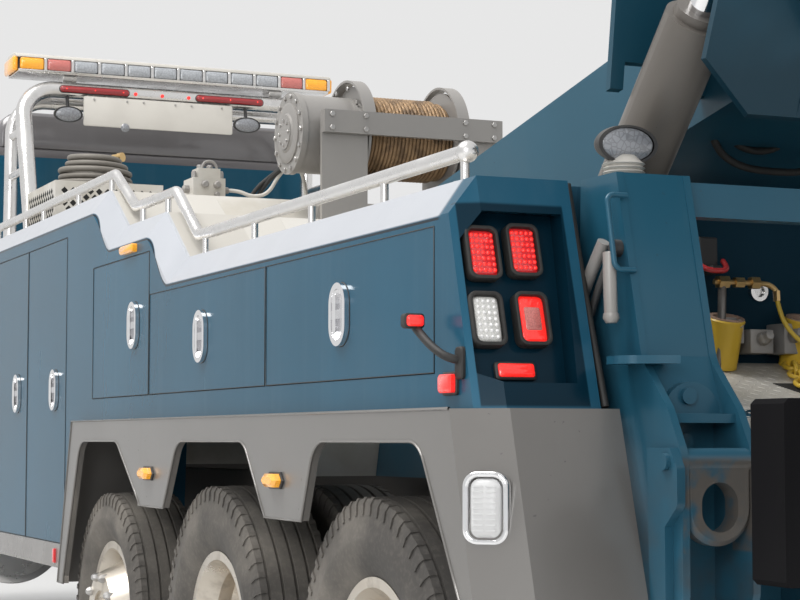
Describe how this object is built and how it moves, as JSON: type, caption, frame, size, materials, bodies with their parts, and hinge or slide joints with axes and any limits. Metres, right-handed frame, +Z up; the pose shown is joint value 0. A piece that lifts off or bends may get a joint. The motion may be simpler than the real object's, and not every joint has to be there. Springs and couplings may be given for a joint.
{
  "type": "heavy tow truck with recovery boom and underlift",
  "caption": "Bonneted heavy tow truck with tool boxes, fixed recovery boom on lift cylinders, winch, light pylon and folded underlift.",
  "frame": {"origin": "on the ground, below the middle of the vehicle's box", "axes": "+Z up, the front faces -Y, the truck's left is +X"},
  "size_m": [2.72, 11.8266, 3.377],
  "materials": {
    "body_teal": "gloss",
    "cast": "painted",
    "chrome": "polished",
    "crossbar_black": "satin",
    "fender_grey": "satin",
    "frame_black": "satin",
    "glass": "clear",
    "hose_rubber": "matt",
    "lens": "gloss",
    "machine_grey": "satin",
    "polished": "polished",
    "rope": "wound",
    "tread_plate": "chequered",
    "trim_dark": "matt",
    "tyre_rubber": "matt",
    "wheel_metal": "polished"
  },
  "bodies": {
    "truck": {"axles": "cast", "cab_glass": "glass", "cab_interior": "trim_dark", "cab_shell": "body_teal", "chassis_frame": "frame_black", "deck": "tread_plate", "engine_block": "cast", "front_bumper": "chrome", "hose_coil": "hose_rubber", "lamps": "lens", "pylon_and_rails": "polished", "rear_fenders": "fender_grey", "rear_frame": "body_teal", "side_tanks": "polished", "tool_boxes": "body_teal", "winch": "machine_grey", "winch_rope": "rope"},
    "knuckle_left": {"knuckle_left": "cast"},
    "wheel_front_left": {"tyre_front_left": "tyre_rubber", "rim_front_left": "wheel_metal"},
    "wheel_rear_left": {"tyres_rear_left": "tyre_rubber", "rims_rear_left": "wheel_metal"},
    "wheel_middle_left": {"tyres_middle_left": "tyre_rubber", "rims_middle_left": "wheel_metal"},
    "wheel_pusher_left": {"tyre_pusher_left": "tyre_rubber", "rim_pusher_left": "wheel_metal"},
    "cab_door_left": {"cab_door_left": "body_teal", "cab_door_glass_left": "glass"},
    "door_tall_1_left": {"door_tall_1_left": "body_teal"},
    "door_tall_2_left": {"door_tall_2_left": "body_teal"},
    "door_tall_3_left": {"door_tall_3_left": "body_teal"},
    "door_upright_left": {"door_upright_left": "body_teal"},
    "door_lift_front_left": {"door_lift_front_left": "body_teal"},
    "door_lift_rear_left": {"door_lift_rear_left": "body_teal"},
    "knuckle_right": {"knuckle_right": "cast"},
    "wheel_front_right": {"tyre_front_right": "tyre_rubber", "rim_front_right": "wheel_metal"},
    "wheel_rear_right": {"tyres_rear_right": "tyre_rubber", "rims_rear_right": "wheel_metal"},
    "wheel_middle_right": {"tyres_middle_right": "tyre_rubber", "rims_middle_right": "wheel_metal"},
    "wheel_pusher_right": {"tyre_pusher_right": "tyre_rubber", "rim_pusher_right": "wheel_metal"},
    "cab_door_right": {"cab_door_right": "body_teal", "cab_door_glass_right": "glass"},
    "door_tall_1_right": {"door_tall_1_right": "body_teal"},
    "door_tall_2_right": {"door_tall_2_right": "body_teal"},
    "door_tall_3_right": {"door_tall_3_right": "body_teal"},
    "door_upright_right": {"door_upright_right": "body_teal"},
    "door_lift_front_right": {"door_lift_front_right": "body_teal"},
    "door_lift_rear_right": {"door_lift_rear_right": "body_teal"},
    "hood": {"hood_shell": "body_teal", "grille": "chrome"},
    "boom": {"boom_main": "body_teal"},
    "boom_extension": {"boom_extension": "body_teal"},
    "lift_barrels": {"lift_barrels": "machine_grey"},
    "lift_rods": {"lift_rods": "chrome"},
    "underlift_arm": {"underlift_arm": "body_teal"},
    "underlift_stinger": {"underlift_stinger": "body_teal"},
    "crossbar": {"crossbar": "crossbar_black"}
  },
  "joints": [
    {"name": "steer_left", "type": "hinge", "parent": "truck", "child": "knuckle_left", "pos_m": [0.88, -4.71334, 0.53], "axis": [0, 0, 1], "range_deg": [-32, 32]},
    {"name": "spin_front_left", "type": "hinge", "parent": "knuckle_left", "child": "wheel_front_left", "pos_m": [1.105, -4.71334, 0.53], "axis": [1, 0, 0], "continuous": true},
    {"name": "spin_rear_left", "type": "hinge", "parent": "truck", "child": "wheel_rear_left", "pos_m": [0.935, 3.88666, 0.525], "axis": [1, 0, 0], "continuous": true},
    {"name": "spin_middle_left", "type": "hinge", "parent": "truck", "child": "wheel_middle_left", "pos_m": [0.935, 2.51666, 0.525], "axis": [1, 0, 0], "continuous": true},
    {"name": "spin_pusher_left", "type": "hinge", "parent": "truck", "child": "wheel_pusher_left", "pos_m": [0.935, 1.17666, 0.497], "axis": [1, 0, 0], "continuous": true},
    {"name": "cab_door_hinge_left", "type": "hinge", "parent": "truck", "child": "cab_door_left", "pos_m": [1.04, -3.84334, 1.19], "axis": [0, 0, -1], "range_deg": [0, 70]},
    {"name": "door_tall_1_left_hinge", "type": "hinge", "parent": "truck", "child": "door_tall_1_left", "pos_m": [1.25, -1.70984, 1.4185], "axis": [0, 0, -1], "range_deg": [0, 90]},
    {"name": "door_tall_2_left_hinge", "type": "hinge", "parent": "truck", "child": "door_tall_2_left", "pos_m": [1.25, -0.95984, 1.4185], "axis": [0, 0, -1], "range_deg": [0, 90]},
    {"name": "door_tall_3_left_hinge", "type": "hinge", "parent": "truck", "child": "door_tall_3_left", "pos_m": [1.25, -0.20584, 1.4185], "axis": [0, 0, -1], "range_deg": [0, 90]},
    {"name": "door_upright_left_hinge", "type": "hinge", "parent": "truck", "child": "door_upright_left", "pos_m": [1.25, 0.98016, 1.64], "axis": [0, 0, -1], "range_deg": [0, 90]},
    {"name": "door_lift_front_left_hinge", "type": "hinge", "parent": "truck", "child": "door_lift_front_left", "pos_m": [1.25, 2.44966, 1.7445], "axis": [0, -1, 0], "range_deg": [0, 90]},
    {"name": "door_lift_rear_left_hinge", "type": "hinge", "parent": "truck", "child": "door_lift_rear_left", "pos_m": [1.25, 3.73766, 1.7445], "axis": [0, -1, 0], "range_deg": [0, 90]},
    {"name": "steer_right", "type": "hinge", "parent": "truck", "child": "knuckle_right", "pos_m": [-0.88, -4.71334, 0.53], "axis": [0, 0, 1], "range_deg": [-32, 32]},
    {"name": "spin_front_right", "type": "hinge", "parent": "knuckle_right", "child": "wheel_front_right", "pos_m": [-1.105, -4.71334, 0.53], "axis": [1, 0, 0], "continuous": true},
    {"name": "spin_rear_right", "type": "hinge", "parent": "truck", "child": "wheel_rear_right", "pos_m": [-0.935, 3.88666, 0.525], "axis": [1, 0, 0], "continuous": true},
    {"name": "spin_middle_right", "type": "hinge", "parent": "truck", "child": "wheel_middle_right", "pos_m": [-0.935, 2.51666, 0.525], "axis": [1, 0, 0], "continuous": true},
    {"name": "spin_pusher_right", "type": "hinge", "parent": "truck", "child": "wheel_pusher_right", "pos_m": [-0.935, 1.17666, 0.497], "axis": [1, 0, 0], "continuous": true},
    {"name": "cab_door_hinge_right", "type": "hinge", "parent": "truck", "child": "cab_door_right", "pos_m": [-1.04, -3.84334, 1.19], "axis": [0, 0, 1], "range_deg": [0, 70]},
    {"name": "door_tall_1_right_hinge", "type": "hinge", "parent": "truck", "child": "door_tall_1_right", "pos_m": [-1.25, -1.70984, 1.4185], "axis": [0, 0, 1], "range_deg": [0, 90]},
    {"name": "door_tall_2_right_hinge", "type": "hinge", "parent": "truck", "child": "door_tall_2_right", "pos_m": [-1.25, -0.95984, 1.4185], "axis": [0, 0, 1], "range_deg": [0, 90]},
    {"name": "door_tall_3_right_hinge", "type": "hinge", "parent": "truck", "child": "door_tall_3_right", "pos_m": [-1.25, -0.20584, 1.4185], "axis": [0, 0, 1], "range_deg": [0, 90]},
    {"name": "door_upright_right_hinge", "type": "hinge", "parent": "truck", "child": "door_upright_right", "pos_m": [-1.25, 0.98016, 1.64], "axis": [0, 0, 1], "range_deg": [0, 90]},
    {"name": "door_lift_front_right_hinge", "type": "hinge", "parent": "truck", "child": "door_lift_front_right", "pos_m": [-1.25, 2.44966, 1.7445], "axis": [0, 1, 0], "range_deg": [0, 90]},
    {"name": "door_lift_rear_right_hinge", "type": "hinge", "parent": "truck", "child": "door_lift_rear_right", "pos_m": [-1.25, 3.73766, 1.7445], "axis": [0, 1, 0], "range_deg": [0, 90]},
    {"name": "hood_tilt", "type": "hinge", "parent": "truck", "child": "hood", "pos_m": [0, -5.82834, 1.04], "axis": [1, 0, 0], "range_deg": [0, 75]},
    {"name": "boom_raise", "type": "hinge", "parent": "truck", "child": "boom", "pos_m": [0, 2.48666, 1.95], "axis": [1, 0, 0], "range_deg": [0, 40]},
    {"name": "boom_extend", "type": "slide", "parent": "boom", "child": "boom_extension", "axis": [0, 0.9829, 0.184], "range_m": [0, 1.5]},
    {"name": "lift_swing", "type": "hinge", "parent": "truck", "child": "lift_barrels", "pos_m": [0, 3.34666, 0.95], "axis": [1, 0, 0], "range_deg": [0, 33.1]},
    {"name": "lift_stroke", "type": "slide", "parent": "lift_barrels", "child": "lift_rods", "axis": [0, 0.68, 0.7332], "range_m": [0, 0.8631]},
    {"name": "underlift_fold", "type": "hinge", "parent": "truck", "child": "underlift_arm", "pos_m": [0, 5.06666, 0.47], "axis": [-1, 0, 0], "range_deg": [0, 90]},
    {"name": "underlift_extend", "type": "slide", "parent": "underlift_arm", "child": "underlift_stinger", "axis": [0, 0, 1], "range_m": [0, 0.3]},
    {"name": "crossbar_swivel", "type": "hinge", "parent": "underlift_stinger", "child": "crossbar", "pos_m": [0, 5.24666, 1.09], "axis": [0, 1, 0], "range_deg": [-20, 20]}
  ],
  "couplings": [
    {"joint": "steer_right", "follows": "steer_left", "ratio": 1},
    {"joint": "lift_swing", "follows": "boom_raise", "ratio": 0.815},
    {"joint": "lift_stroke", "follows": "boom_raise", "m_per_rad": 1.222}
  ]
}
